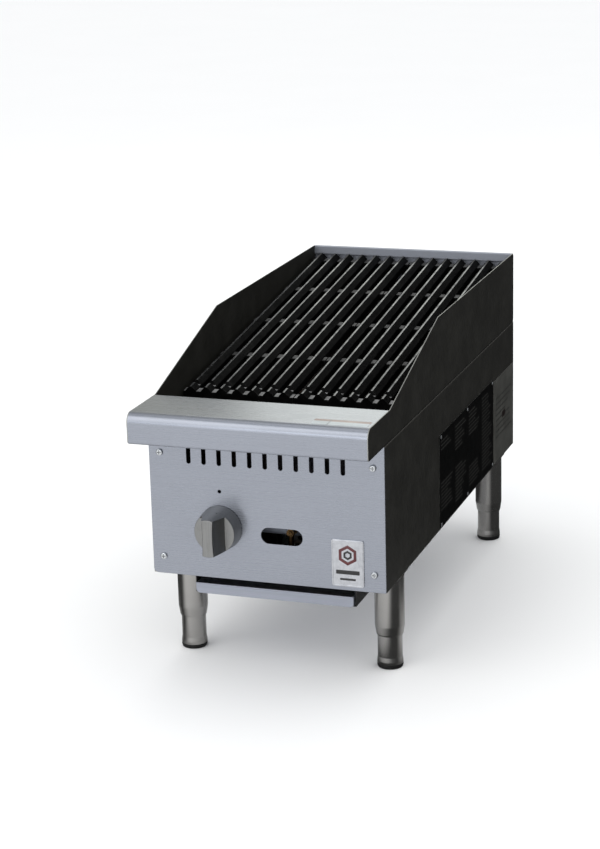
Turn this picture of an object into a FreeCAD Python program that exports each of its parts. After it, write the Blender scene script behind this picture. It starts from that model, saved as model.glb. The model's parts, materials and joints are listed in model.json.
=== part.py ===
import FreeCAD, Part
import math
import os

# Countertop gas charbroiler, one burner wide. Millimetres, +Z up.
# Everything is drawn with y = 0 on the face of the front panel and z = 0 on the counter,
# and write_part() then moves it so that the origin is at the middle of the footprint.
# The front faces -Y and +X is to the right of a cook who stands in front of it.

# Body
BODY_WIDTH = 305.0
BODY_DEPTH = 660.0
BODY_BOTTOM = 126.0
SEAM_HEIGHT = 312.5
SHEET = 1.2
HALF = BODY_WIDTH / 2
INNER = HALF - SHEET

# Front ledge, side splashes and back splash
LEDGE_FRONT = -64.0
LEDGE_BACK = 27.0
LEDGE_TOP = 351.0
LEDGE_SHEET = 1.5
BULLNOSE_RADIUS = 12.0
SPLASH_TOP = 414.5
SLOPE_END = 246.0
HEM_HEIGHT = 13.0
HEM_DEPTH = 5.0

# Front panel
SLOT_COUNT = 11
SLOT_PITCH = 20.0
SLOT_WIDTH = 5.5
SLOT_BOTTOM = 272.7
SLOT_TOP = 302.0
SIGHT_CENTRE_X = 19.4
SIGHT_CENTRE_Z = 187.5
SIGHT_LENGTH = 54.0
SIGHT_HEIGHT = 21.0
ACCESS_HOLE_Z = 239.5
SCREW_X = 138.0
SCREW_HEIGHTS = (149.0, 285.0)
SCREW_RADIUS = 2.0
BADGE = (83.6, 125.1, 131.0, 191.5)

# Knob
KNOB_X = -60.6
KNOB_Z = 193.0
KNOB_BASE_RADIUS = 28.4
KNOB_FACE_RADIUS = 26.2
KNOB_WALL = 2.4
KNOB_BASE_Y = -0.8
KNOB_FACE_Y = -22.5
KNOB_GRIP_Y = -46.0
STEM_RADIUS = 4.0
STEM_TIP_Y = -21.0
SHAFT_GAP = 0.05

# Grates: cast bars that fall towards the front
BARS_PER_GRATE = 7
BAR_PITCH = 21.05
FIRST_BAR_X = 12.3
BAR_HALF_WIDTH = 7.4
BAR_RIDGE_HALF = 1.2
BAR_DEPTH = 18.0
RIDGE_FRONT = (134.0, 343.1)
RIDGE_REAR = (650.6, 404.3)
NIB_FRONT = 110.0
NOTCH_FRONT = 124.0
NOTCH_DEPTH = 5.0
CROSSBAR_DROP = 7.0
CROSSBAR_WIDTH = 14.0
CROSSBAR_FRONT = 117.0
CROSSBAR_PITCH = 131.0
CROSSBAR_COUNT = 5
GRATE_SIDE = 148.5
GRATE_MIDDLE = 0.75

# Firebox, radiant and burner
FIREBOX_HALF = 112.0
FIREBOX_FRONT = 84.0
FIREBOX_REAR = 640.0
FIREBOX_SHEET = 1.0
FIREBOX_BOTTOM = 130.0
RADIANT_Z = 262.0
RADIANT_HALF = 106.0
RADIANT_THICKNESS = 5.0
BURNER_X = 12.0
VENTURI_Z = 150.0
BURNER_TUBE_X = 44.0
BURNER_TUBE_Z = 172.0
BURNER_TUBE_RADIUS = 18.0
BURNER_PORTS = 16
BURNER_HEADER_BOTTOM = 134.5

# Gas train
PIPE_RADIUS = 13.335
PIPE_BORE = 10.5
THREAD_RADIUS = 13.1
THREAD_LENGTH = 20.0
MANIFOLD_Y = 48.0
MANIFOLD_Z = 188.0
FEED_X = 130.0
ELBOW_RADIUS = 22.0
INLET_REAR = 692.0
GAS_TUBE_RADIUS = 4.75
PILOT_X = 24.0
PILOT_Z = 187.0
PILOT_BURNER_X = 52.0
PILOT_TUBE_RADIUS = 2.0

# Drip tray and its runners
TRAY_HALF = 103.5
TRAY_FRONT = 20.0
TRAY_REAR = 622.0
TRAY_BOTTOM = 97.2
TRAY_TOP = 110.0
TRAY_SHEET = 1.0
RUNNER_HALF = 105.0
RUNNER_LIP = 98.0
RUNNER_ENDS = (24.0, 636.0)
HANGER_EDGE = 118.0
STRIP_TOP = 97.0
STOP_TOP = 118.0

# Legs
LEG_X = 133.0
LEG_YS = (77.0, 587.0)
LEG_RADIUS = 19.0
LEG_END = 44.0
LEG_PLATE = 3.0
FOOT_RADIUS = 15.75
PAD_HEIGHT = 5.0

# Plates on the right side
DATA_PLATE = (245.0, 534.0, 128.0, 256.0)
LABEL_PLATE = (538.0, 657.0, 128.0, 252.0)
PLATE_SHEET = 0.6

ORIGIN_Y = (LEDGE_FRONT + INLET_REAR) / 2
RISE = RIDGE_REAR[1] - RIDGE_FRONT[1]
RUN = RIDGE_REAR[0] - RIDGE_FRONT[0]
GRATE_TILT = math.degrees(math.atan2(RISE, RUN))

V = FreeCAD.Vector
X_AXIS = V(1, 0, 0)
Y_AXIS = V(0, 1, 0)
Z_AXIS = V(0, 0, 1)


def write_part(name, *solids):
    shape = solids[0] if len(solids) == 1 else Part.makeCompound(list(solids))
    shape = shape.copy()
    shape.translate(V(0, -ORIGIN_Y, 0))
    shape.exportStep("parts/" + name + ".step")


def box(x0, x1, y0, y1, z0, z1):
    return Part.makeBox(x1 - x0, y1 - y0, z1 - z0, V(x0, y0, z0))


def rod(radius, start, end):
    start = V(*start)
    axis = V(*end) - start
    return Part.makeCylinder(radius, axis.Length, start, axis)


def tube(outer, bore, start, end):
    return rod(outer, start, end).cut(rod(bore, start, end))


def fuse(*solids):
    whole = solids[0]
    for solid in solids[1:]:
        whole = whole.fuse(solid)
    return whole.removeSplitter()


def mirrored(shape):
    return shape.mirror(V(0, 0, 0), X_AXIS)


def on_yz(x):
    return lambda a, b: V(x, a, b)


def on_xz(y):
    return lambda a, b: V(a, y, b)


def on_xy(z):
    return lambda a, b: V(a, b, z)


def outline(corners, place):
    """Closed face through corners (a, b, radius), each corner rounded by its radius."""
    edges = []
    count = len(corners)
    entries = []
    for i in range(count):
        a, b, radius = corners[i]
        here = V(a, b, 0)
        before = V(corners[i - 1][0], corners[i - 1][1], 0) - here
        after = V(corners[(i + 1) % count][0], corners[(i + 1) % count][1], 0) - here
        before.normalize()
        after.normalize()
        if radius <= 0:
            entries.append((here, None, here))
            continue
        half = before.getAngle(after) / 2
        reach = radius / math.tan(half)
        bisector = before + after
        bisector.normalize()
        centre = here + bisector * (radius / math.sin(half))
        entries.append((here + before * reach, centre - bisector * radius, here + after * reach))
    for i in range(count):
        first, middle, last = entries[i]
        if middle is not None:
            arc = Part.Arc(place(first.x, first.y), place(middle.x, middle.y), place(last.x, last.y))
            edges.append(arc.toShape())
        target = entries[(i + 1) % count][0]
        if (target - last).Length > 1e-6:
            edges.append(Part.makeLine(place(last.x, last.y), place(target.x, target.y)))
    return Part.Face(Part.Wire(edges))


def folded(points, bend, thickness):
    """Corners of a bent sheet: the given line and its copy one thickness to the left."""
    lefts = []
    inner = []
    count = len(points)
    directions = []
    for i in range(count - 1):
        step = V(points[i + 1][0] - points[i][0], points[i + 1][1] - points[i][1], 0)
        step.normalize()
        directions.append(step)
    normals = [V(-d.y, d.x, 0) for d in directions]
    for i in range(count):
        here = V(points[i][0], points[i][1], 0)
        if i == 0:
            shift = normals[0]
            turn = 0
        elif i == count - 1:
            shift = normals[-1]
            turn = 0
        else:
            total = normals[i - 1] + normals[i]
            shift = total * (1 / (1 + normals[i - 1].dot(normals[i])))
            turn = directions[i - 1].cross(directions[i]).z
        moved = here + shift * thickness
        near = 0 if turn == 0 else bend
        far = 0 if turn == 0 else (bend - thickness if turn > 0 else bend + thickness)
        lefts.append((here.x, here.y, near))
        inner.append((moved.x, moved.y, max(far, 0)))
    return lefts + inner[::-1]


def turned(profile, x, y):
    """Solid of revolution about the vertical through (x, y), from (radius, z) corners."""
    face = outline(profile, lambda a, b: V(x + a, y, b))
    return face.revolve(V(x, y, 0), Z_AXIS, 360)


def turned_y(profile, x, z):
    """Solid of revolution about the line along Y through (x, z), from (radius, y) corners."""
    face = outline(profile, lambda a, b: V(x + a, b, z))
    return face.revolve(V(x, 0, z), Y_AXIS, 360)


def break_edges(shape, radius, wanted):
    edges = [edge for edge in shape.Edges if wanted(edge)]
    return shape.makeFillet(radius, edges)


def bent_rod(points, bend, radius):
    """Rod along straight runs joined by tangent arcs."""
    points = [V(*p) for p in points]
    edges = []
    last = points[0]
    for i in range(1, len(points) - 1):
        before = points[i - 1] - points[i]
        after = points[i + 1] - points[i]
        before.normalize()
        after.normalize()
        half = before.getAngle(after) / 2
        reach = bend / math.tan(half)
        bisector = before + after
        bisector.normalize()
        start = points[i] + before * reach
        end = points[i] + after * reach
        middle = points[i] + bisector * (bend / math.sin(half) - bend)
        edges.append(Part.makeLine(last, start))
        edges.append(Part.Arc(start, middle, end).toShape())
        last = end
    edges.append(Part.makeLine(last, points[-1]))
    path = Part.Wire(edges)
    section = Part.Wire(Part.makeCircle(radius, points[0], points[1] - points[0]))
    return path.makePipeShell([section], True, False)


# ---- sheet-metal body ----

def slot_hole(x, width, z0, z1):
    radius = width / 2
    corners = [(x - radius, z0, radius * 0.999), (x + radius, z0, radius * 0.999)]
    corners += [(x + radius, z1, radius * 0.999), (x - radius, z1, radius * 0.999)]
    return outline(corners, on_xz(-1)).extrude(V(0, SHEET + 2, 0))


def sight_hole():
    half = SIGHT_LENGTH / 2
    tall = SIGHT_HEIGHT / 2
    left, right = SIGHT_CENTRE_X - half, SIGHT_CENTRE_X + half
    low, high = SIGHT_CENTRE_Z - tall, SIGHT_CENTRE_Z + tall
    corners = [(left, low, tall * 0.999), (right, low, tall * 0.999)]
    corners += [(right, high, tall * 0.999), (left, high, tall * 0.999)]
    return outline(corners, on_xz(-1)).extrude(V(0, SHEET + 2, 0))


def front_panel():
    low, high = BODY_BOTTOM, SEAM_HEIGHT
    corners = [(-HALF, low, 6), (HALF, low, 1.5), (HALF, high, 0), (-HALF, high, 0)]
    face = outline(corners, on_xz(0)).extrude(V(0, SHEET, 0))
    for i in range(SLOT_COUNT):
        x = (i - (SLOT_COUNT - 1) / 2) * SLOT_PITCH
        face = face.cut(slot_hole(x, SLOT_WIDTH, SLOT_BOTTOM, SLOT_TOP))
    face = face.cut(sight_hole())
    face = face.cut(rod(2.25, (KNOB_X, -1, ACCESS_HOLE_Z), (KNOB_X, 3, ACCESS_HOLE_Z)))
    face = face.cut(rod(6.5, (KNOB_X, -1, KNOB_Z), (KNOB_X, 3, KNOB_Z)))
    for x in (-SCREW_X, SCREW_X):
        for z in SCREW_HEIGHTS:
            face = face.cut(rod(SCREW_RADIUS + 0.1, (x, -1, z), (x, 3, z)))
    face = break_edges(face, 0.4, lambda e: e.BoundBox.YMax < 0.01)
    left = box(-INNER, -INNER + SHEET, SHEET, 16, low + 8, high - SHEET)
    top = box(-INNER, INNER, SHEET, 20, high - SHEET, high)
    return fuse(face, left, mirrored(left), top)


def side_panel():
    wall = box(INNER, HALF, SHEET, BODY_DEPTH, BODY_BOTTOM, SEAM_HEIGHT)
    foot = box(INNER - 14, INNER, SHEET, BODY_DEPTH, BODY_BOTTOM, BODY_BOTTOM + SHEET)
    return fuse(wall, foot)


def rear_panel():
    y0, y1 = BODY_DEPTH - SHEET, BODY_DEPTH
    wall = box(-INNER, INNER, y0, y1, BODY_BOTTOM + SHEET, SEAM_HEIGHT)
    wall = wall.cut(rod(PIPE_RADIUS + 2, (FEED_X, y0 - 1, MANIFOLD_Z), (FEED_X, y1 + 1, MANIFOLD_Z)))
    for column in (-70.0, 0.0, 70.0):
        for row in range(5):
            z = 222.0 + 14 * row
            wall = wall.cut(box(column - 27, column + 27, y0 - 1, y1 + 1, z, z + 4))
    return wall


def base_pan():
    z0 = BODY_BOTTOM + SHEET
    sheet = box(-INNER, INNER, SHEET, BODY_DEPTH - SHEET, z0, z0 + SHEET)
    corners = [(-100, 60, 12), (100, 60, 12), (100, 606, 12), (-100, 606, 12)]
    mouth = outline(corners, on_xy(z0 - 1)).extrude(V(0, 0, SHEET + 2))
    return sheet.cut(mouth)


def tray_runner():
    """Folded hanger, the strip welded under it that the tray slides on, and the end stop."""
    top = BODY_BOTTOM + SHEET
    outer = RUNNER_HALF + SHEET
    y0, y1 = RUNNER_ENDS
    line = [(outer, STRIP_TOP), (outer, top - SHEET), (HANGER_EDGE, top - SHEET)]
    hanger = outline(folded(line, 1.5, SHEET), on_xz(y0)).extrude(V(0, y1 - y0, 0))
    strip = box(RUNNER_LIP, outer, y0, y1, STRIP_TOP - SHEET, STRIP_TOP)
    stop = box(RUNNER_LIP, RUNNER_HALF, TRAY_REAR + 0.5, TRAY_REAR + 2, STRIP_TOP, STOP_TOP)
    return [hanger, strip, stop]


def splash():
    corners = [(LEDGE_FRONT, SEAM_HEIGHT, 4), (LEDGE_FRONT, LEDGE_TOP, BULLNOSE_RADIUS)]
    corners += [(LEDGE_BACK, LEDGE_TOP, 6), (SLOPE_END, SPLASH_TOP, 3)]
    corners += [(BODY_DEPTH, SPLASH_TOP, 5), (BODY_DEPTH, SEAM_HEIGHT, 6)]
    sheet = outline(corners[::-1], on_yz(INNER)).extrude(V(SHEET, 0, 0))
    return break_edges(sheet, 0.35, lambda e: e.BoundBox.XMin > HALF - 0.01)


def back_splash():
    rear, top = BODY_DEPTH, SPLASH_TOP
    line = [(rear, SEAM_HEIGHT), (rear, top), (rear - HEM_DEPTH, top), (rear - HEM_DEPTH, top - HEM_HEIGHT)]
    line += [(rear - SHEET - 0.2, top - HEM_HEIGHT)]
    corners = folded(line, 1.6, SHEET)
    return outline(corners, on_yz(-INNER)).extrude(V(2 * INNER, 0, 0))


def front_ledge():
    t = LEDGE_SHEET
    low, top = SEAM_HEIGHT, LEDGE_TOP
    r = BULLNOSE_RADIUS
    corners = [(SHEET, low, 0), (LEDGE_FRONT, low, 3), (LEDGE_FRONT, top, r), (LEDGE_BACK, top, 3)]
    corners += [(LEDGE_BACK, top - 18, 0), (LEDGE_BACK - t, top - 18, 0), (LEDGE_BACK - t, top - t, 1.5)]
    corners += [(LEDGE_FRONT + t, top - t, r - t), (LEDGE_FRONT + t, low + t, 1.5), (SHEET, low + t, 0)]
    return outline(corners, on_yz(-INNER)).extrude(V(2 * INNER, 0, 0))


# ---- fasteners and plates ----

def panel_screws():
    screws = []
    for x in (-SCREW_X, SCREW_X):
        for z in SCREW_HEIGHTS:
            head = rod(4.4, (x, -2.6, z), (x, 0, z))
            head = break_edges(head, 1.4, lambda e: e.BoundBox.YMax < -2.5)
            shank = rod(SCREW_RADIUS, (x, -0.5, z), (x, 9, z))
            drive = box(x - 2.6, x + 2.6, -3, -1.6, z - 0.4, z + 0.4)
            cross = box(x - 0.4, x + 0.4, -3, -1.6, z - 2.6, z + 2.6)
            screws.append(head.fuse(shank).cut(drive.fuse(cross)))
    return screws


def badge():
    x0, x1, z0, z1 = BADGE
    corners = [(x0, z0, 3), (x1, z0, 3), (x1, z1, 3), (x0, z1, 3)]
    plate = outline(corners, on_xz(-1.6)).extrude(V(0, 1.6, 0))
    return break_edges(plate, 0.5, lambda e: e.BoundBox.YMax < -1.59)


def side_plate(limits):
    y0, y1, z0, z1 = limits
    corners = [(y0, z0, 2), (y1, z0, 2), (y1, z1, 2), (y0, z1, 2)]
    return outline(corners, on_yz(HALF)).extrude(V(PLATE_SHEET, 0, 0))


def plate_screws():
    y0, y1, z0, z1 = DATA_PLATE
    face = HALF + PLATE_SHEET
    screws = []
    for y in (y0 + 8, (y0 + y1) / 2, y1 - 4):
        for z in (z0 + 3.5, z1 - 4):
            head = rod(2.6, (face, y, z), (face + 1.0, y, z))
            screws.append(break_edges(head, 0.6, lambda e: e.BoundBox.XMin > face + 0.9))
    return screws


# ---- legs ----

def leg_tube(x, y):
    top = BODY_BOTTOM - LEG_PLATE
    bore = FOOT_RADIUS + SHAFT_GAP
    profile = [(bore, LEG_END, 0), (bore + 1.0, LEG_END, 0), (17.4, 46, 1), (LEG_RADIUS, 57, 8)]
    profile += [(LEG_RADIUS, top, 0), (17.4, top, 0), (17.4, 59, 0), (bore, 57, 0)]
    return turned(profile, x, y)


def leg_plates():
    plates = []
    for x in (-LEG_X, LEG_X):
        for y in LEG_YS:
            outer = HALF - 1.5
            x0, x1 = (112, outer) if x > 0 else (-outer, -112)
            z = BODY_BOTTOM - LEG_PLATE
            corners = [(x0, y - 27, 4), (x1, y - 27, 4), (x1, y + 27, 4), (x0, y + 27, 4)]
            plates.append(outline(corners, on_xy(z)).extrude(V(0, 0, LEG_PLATE)))
    return plates


def leg_foot(x, y):
    r = FOOT_RADIUS
    profile = [(0, PAD_HEIGHT, 0), (16.6, PAD_HEIGHT, 1), (16.6, 9, 2), (r, 15, 6), (r, 84, 0)]
    profile += [(r - 2, 84, 0), (r - 2, 12, 0), (0, 12, 0)]
    return turned(profile, x, y)


def foot_pad(x, y):
    return turned([(0, 0, 0), (16.0, 0, 1.6), (16.9, PAD_HEIGHT, 1), (0, PAD_HEIGHT, 0)], x, y)


# ---- drip tray ----

def drip_tray():
    t = TRAY_SHEET
    w = TRAY_HALF
    corners = [(-w, TRAY_FRONT, 3), (w, TRAY_FRONT, 3), (w, TRAY_REAR, 3), (-w, TRAY_REAR, 3)]
    outer = outline(corners, on_xy(TRAY_BOTTOM)).extrude(V(0, 0, TRAY_TOP - TRAY_BOTTOM))
    inside = [(-w + t, TRAY_FRONT + t, 2), (w - t, TRAY_FRONT + t, 2)]
    inside += [(w - t, TRAY_REAR - t, 2), (-w + t, TRAY_REAR - t, 2)]
    hollow = outline(inside, on_xy(TRAY_BOTTOM + t)).extrude(V(0, 0, TRAY_TOP))
    lip = [(-w - 0.5, 96.4, 5), (w + 0.5, 96.4, 5), (w + 0.5, TRAY_TOP, 0), (-w - 0.5, TRAY_TOP, 0)]
    front = outline(lip, on_xz(TRAY_FRONT - 1)).extrude(V(0, 1.2, 0))
    hem = rod(1.3, (-w - 0.5, TRAY_FRONT - 1.2, TRAY_TOP - 0.6), (w + 0.5, TRAY_FRONT - 1.2, TRAY_TOP - 0.6))
    return fuse(outer.cut(hollow), front, hem)


# ---- grates ----

def tilted(shape):
    """From the grate's own flat frame, ridge line on y, z = 0, to its place on the slope."""
    shape = shape.copy()
    shape.rotate(V(0, 0, 0), X_AXIS, GRATE_TILT)
    shape.translate(V(0, RIDGE_FRONT[0], RIDGE_FRONT[1]))
    return shape


def along(y):
    return (y - RIDGE_FRONT[0]) / math.cos(math.radians(GRATE_TILT))


def bar(x):
    w, d = BAR_HALF_WIDTH, BAR_DEPTH
    r = BAR_RIDGE_HALF
    drop = w - r
    corners = [(x - r, 0, 0.7), (x - w, -drop, 1.2), (x - w + 2.2, -d, 1.5), (x + w - 2.2, -d, 1.5)]
    corners += [(x + w, -drop, 1.2), (x + r, 0, 0.7)]
    start, end = along(NIB_FRONT), along(RIDGE_REAR[0])
    solid = outline(corners, on_xz(start)).extrude(V(0, end - start, 0))
    n0, n1 = along(NOTCH_FRONT), 0
    notch = [(n0, 1, 0), (n0 + 1.5, -NOTCH_DEPTH, 1.2), (n1 - 3.5, -NOTCH_DEPTH, 1.2), (n1, 1, 0)]
    return solid.cut(outline(notch, on_yz(x - w - 1)).extrude(V(2 * w + 2, 0, 0)))


def grate():
    bars = [bar(FIRST_BAR_X + i * BAR_PITCH) for i in range(BARS_PER_GRATE)]
    crossbars = []
    for i in range(CROSSBAR_COUNT):
        middle = along(CROSSBAR_FRONT + i * CROSSBAR_PITCH)
        y0, y1 = middle - CROSSBAR_WIDTH / 2, middle + CROSSBAR_WIDTH / 2
        low, high = -BAR_DEPTH + 2, -CROSSBAR_DROP
        section = [(y0, low, 1), (y1, low, 1), (y1, high, 1.5), (y0, high, 1.5)]
        crossbars.append(outline(section, on_yz(GRATE_MIDDLE)).extrude(V(GRATE_SIDE - GRATE_MIDDLE, 0, 0)))
    return tilted(bars[0].multiFuse(bars[1:] + crossbars))


def grate_rest(y0, y1):
    plate = box(-INNER, INNER, along(y0), along(y1), -BAR_DEPTH - 3.2, -BAR_DEPTH - 0.2)
    web = box(-INNER, INNER, along(y1) - 3, along(y1), -BAR_DEPTH - 8, -BAR_DEPTH - 0.2)
    return tilted(plate.fuse(web).removeSplitter())


# ---- firebox ----

def heat_shield_side():
    slope = math.tan(math.radians(GRATE_TILT))
    front = FIREBOX_FRONT + FIREBOX_SHEET
    behind_chute = front + 3
    front_top = 304.0
    rear_top = front_top + (FIREBOX_REAR - behind_chute) * slope
    corners = [(front, FIREBOX_BOTTOM, 0), (FIREBOX_REAR, FIREBOX_BOTTOM, 0), (FIREBOX_REAR, rear_top, 0)]
    corners += [(behind_chute, front_top, 0), (behind_chute, 278, 0), (front, 278, 0)]
    return outline(corners, on_yz(FIREBOX_HALF)).extrude(V(FIREBOX_SHEET, 0, 0))


def heat_shield_front():
    y = FIREBOX_FRONT
    wall = box(-FIREBOX_HALF, FIREBOX_HALF, y, y + FIREBOX_SHEET, FIREBOX_BOTTOM, 296)
    wall = wall.cut(rod(24, (BURNER_X, y - 1, VENTURI_Z), (BURNER_X, y + 3, VENTURI_Z)))
    pilot = box(PILOT_BURNER_X - 5, PILOT_BURNER_X + 5, y - 1, y + 3, 152, 168)
    return wall.cut(pilot)


def heat_shield_rear():
    y = FIREBOX_REAR
    return box(-FIREBOX_HALF, FIREBOX_HALF, y, y + FIREBOX_SHEET, FIREBOX_BOTTOM, 370)


def grease_chute():
    y = FIREBOX_FRONT + FIREBOX_SHEET
    line = [(LEDGE_BACK + 0.6, 343), (LEDGE_BACK + 0.6, 326), (y + 1.3, 304), (y + 1.3, 282)]
    corners = folded(line, 2.0, 1.2)
    return outline(corners, on_yz(-INNER)).extrude(V(2 * INNER, 0, 0))


def radiant_rail():
    z = RADIANT_Z
    h = FIREBOX_HALF
    line = [(h - 14, z - 2), (h - 1.5, z - 2), (h - 1.5, z + 14)]
    corners = folded(line, 2.0, 1.5)
    return outline(corners, on_xz(104)).extrude(V(0, 520, 0))


def radiant():
    z, h = RADIANT_Z, RADIANT_HALF
    t = RADIANT_THICKNESS
    line = [(-h, z), (-82, z), (-56, z + 26), (-30, z), (0, z + 26), (30, z), (56, z + 26), (82, z), (h, z)]
    plate = outline(folded(line, 5.5, t), on_xz(112)).extrude(V(0, 500, 0))
    for x in (-43, 43, -15, 15, -69, 69):
        for i in range(8):
            y = 132 + i * 60
            plate = plate.cut(box(x - 4, x + 4, y, y + 36, z - 5, z + 50))
    return plate


def burner():
    z = BURNER_TUBE_Z
    r = BURNER_TUBE_RADIUS
    wall = 4
    low, high = BURNER_HEADER_BOTTOM, z + r
    section = [(160, low, 8), (204, low, 8), (204, high, 8), (160, high, 8)]
    body = outline(section, on_yz(-66)).extrude(V(132, 0, 0))
    body = body.fuse(rod(15.5, (BURNER_X, 150, VENTURI_Z), (BURNER_X, 170, VENTURI_Z)))
    for x in (-BURNER_TUBE_X, BURNER_TUBE_X):
        body = body.fuse(rod(r - 0.5, (x, 190, z), (x, 600, z)))
    body = body.cut(box(-66 + wall, 66 - wall, 160 + wall, 204 - wall, low + wall, high - wall))
    body = body.cut(rod(13, (BURNER_X, 149, VENTURI_Z), (BURNER_X, 170, VENTURI_Z)))
    for x in (-BURNER_TUBE_X, BURNER_TUBE_X):
        body = body.cut(rod(r - wall, (x, 195, z), (x, 596, z)))
        for i in range(BURNER_PORTS):
            y = 214 + i * 24
            body = body.cut(box(x - 9, x + 9, y, y + 2.5, z + 6, z + 30))
    return body


def burner_rest(y, z):
    return box(-FIREBOX_HALF, FIREBOX_HALF, y - 10, y + 10, z - 2.5, z)


def venturi():
    profile = [(6.6, 78, 0), (21, 78, 0), (21, 81, 0), (16, 100, 12), (16, 149.5, 0)]
    profile += [(13, 149.5, 0), (13, 100, 14), (18.5, 82, 0), (18.5, 80, 0), (6.6, 80, 0)]
    horn = turned_y(profile, BURNER_X, VENTURI_Z)
    return horn.cut(air_openings(77, 82, 8.5, 17.5))


def air_openings(y0, y1, inner, outer):
    ring = tube(outer, inner, (BURNER_X, y0, VENTURI_Z), (BURNER_X, y1, VENTURI_Z))
    block = box(BURNER_X - 40, BURNER_X + 40, y0 - 1, y1 + 1, VENTURI_Z, VENTURI_Z + 40)
    wedge = block.copy()
    wedge.rotate(V(BURNER_X, 0, VENTURI_Z), Y_AXIS, 100)
    sector = ring.common(block).common(wedge)
    opposite = sector.copy()
    opposite.rotate(V(BURNER_X, 0, VENTURI_Z), Y_AXIS, 180)
    return sector.fuse(opposite)


def air_shutter():
    profile = [(6.6, 75.7, 0), (20.5, 75.7, 0), (20.5, 77.7, 0), (6.6, 77.7, 0)]
    disc = turned_y(profile, BURNER_X, VENTURI_Z)
    tab = box(BURNER_X - 3, BURNER_X + 3, 74, 77.7, VENTURI_Z - 27, VENTURI_Z - 19)
    return disc.cut(air_openings(75, 78.5, 8.5, 17.5)).fuse(tab).removeSplitter()


# ---- gas train ----

def manifold_pipe():
    start = (-128, MANIFOLD_Y, MANIFOLD_Z)
    end = (FEED_X - ELBOW_RADIUS, MANIFOLD_Y, MANIFOLD_Z)
    return tube(PIPE_RADIUS, PIPE_BORE, start, end)


def manifold_cap():
    y, z = MANIFOLD_Y, MANIFOLD_Z
    cup = rod(16.5, (-140, y, z), (-118, y, z))
    cup = break_edges(cup, 2.5, lambda e: e.BoundBox.XMax < -139.9)
    return cup.cut(rod(PIPE_RADIUS + 0.05, (-128, y, z), (-117, y, z)))


def manifold_elbow():
    y, z = MANIFOLD_Y, MANIFOLD_Z
    r = ELBOW_RADIUS
    x = FEED_X - r
    centre = V(x, y + r, z)
    bend = Part.makeTorus(r, 16.3, centre, Z_AXIS)
    window = box(x, x + 60, y - 40, y + r, z - 30, z + 30)
    bend = bend.common(window)
    bend = bend.cut(Part.makeTorus(r, PIPE_BORE, centre, Z_AXIS))
    gap = PIPE_RADIUS + 0.05
    socket_a = tube(18.5, gap, (x - 14, y, z), (x, y, z))
    socket_b = tube(18.5, gap, (FEED_X, y + r, z), (FEED_X, y + r + 14, z))
    return fuse(bend, socket_a, socket_b)


def feed_pipe():
    """Pipe to the rear; its last stretch stands for the threaded inlet."""
    x, z = FEED_X, MANIFOLD_Z
    start = MANIFOLD_Y + ELBOW_RADIUS
    shoulder = INLET_REAR - THREAD_LENGTH
    run = rod(PIPE_RADIUS, (x, start, z), (x, shoulder, z))
    threaded = rod(THREAD_RADIUS, (x, shoulder, z), (x, INLET_REAR, z))
    return run.fuse(threaded).cut(rod(PIPE_BORE, (x, start, z), (x, INLET_REAR, z)))


def pipe_brackets():
    brackets = []
    y, z = MANIFOLD_Y, MANIFOLD_Z
    for x in (-100, 78):
        low = BODY_BOTTOM + 2 * SHEET
        post = box(x - 9, x + 9, y - 1.5, y + 1.5, low, z - 8)
        foot = box(x - 9, x + 9, y - 1.5, y + 8, low, low + 2)
        brackets.append(fuse(post, foot).cut(rod(PIPE_RADIUS + 0.05, (x - 20, y, z), (x + 20, y, z))))
    return brackets


def gas_valve():
    x, z = KNOB_X, KNOB_Z
    body = rod(14, (x, 9, z), (x, 31, z))
    body = break_edges(body, 1.5, lambda e: e.BoundBox.YMax < 9.01)
    bonnet = rod(9, (x, 4, z), (x, 9, z))
    inlet = rod(8, (x, 30, MANIFOLD_Z), (x, 42, MANIFOLD_Z))
    outlet = rod(6.5, (x, 20, z - 10), (x, 20, 166))
    whole = fuse(body, bonnet, inlet, outlet)
    pipe = rod(PIPE_RADIUS + 0.05, (x - 20, MANIFOLD_Y, MANIFOLD_Z), (x + 20, MANIFOLD_Y, MANIFOLD_Z))
    whole = whole.cut(pipe)
    return whole.cut(rod(STEM_RADIUS + SHAFT_GAP, (x, 3, z), (x, 26, z)))


def stem(radius, y0, y1):
    x, z = KNOB_X, KNOB_Z
    shaft = rod(radius, (x, y0, z), (x, y1, z))
    flat = box(x + radius - 1.4, x + radius + 1, y0 - 1, -3, z - 8, z + 8)
    return shaft.cut(flat)


def valve_stem():
    return stem(STEM_RADIUS, STEM_TIP_Y, 25.5)


def knob_bar():
    """The waisted bar that stays between the knob's two scoops, longer than the knob is wide."""
    def loop(y, tip, waist):
        x, z = KNOB_X, KNOB_Z
        right = Part.Arc(V(x + tip, y, z + 34), V(x + waist, y, z), V(x + tip, y, z - 34))
        left = Part.Arc(V(x - tip, y, z - 34), V(x - waist, y, z), V(x - tip, y, z + 34))
        low = Part.LineSegment(V(x + tip, y, z - 34), V(x - tip, y, z - 34))
        high = Part.LineSegment(V(x - tip, y, z + 34), V(x + tip, y, z + 34))
        return Part.Wire([piece.toShape() for piece in (right, low, left, high)])

    root = loop(KNOB_FACE_Y + 2, 15.6, 14.8)
    front = loop(KNOB_GRIP_Y - 2, 8.2, 5.6)
    return Part.makeLoft([root, front], True, True)


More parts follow.
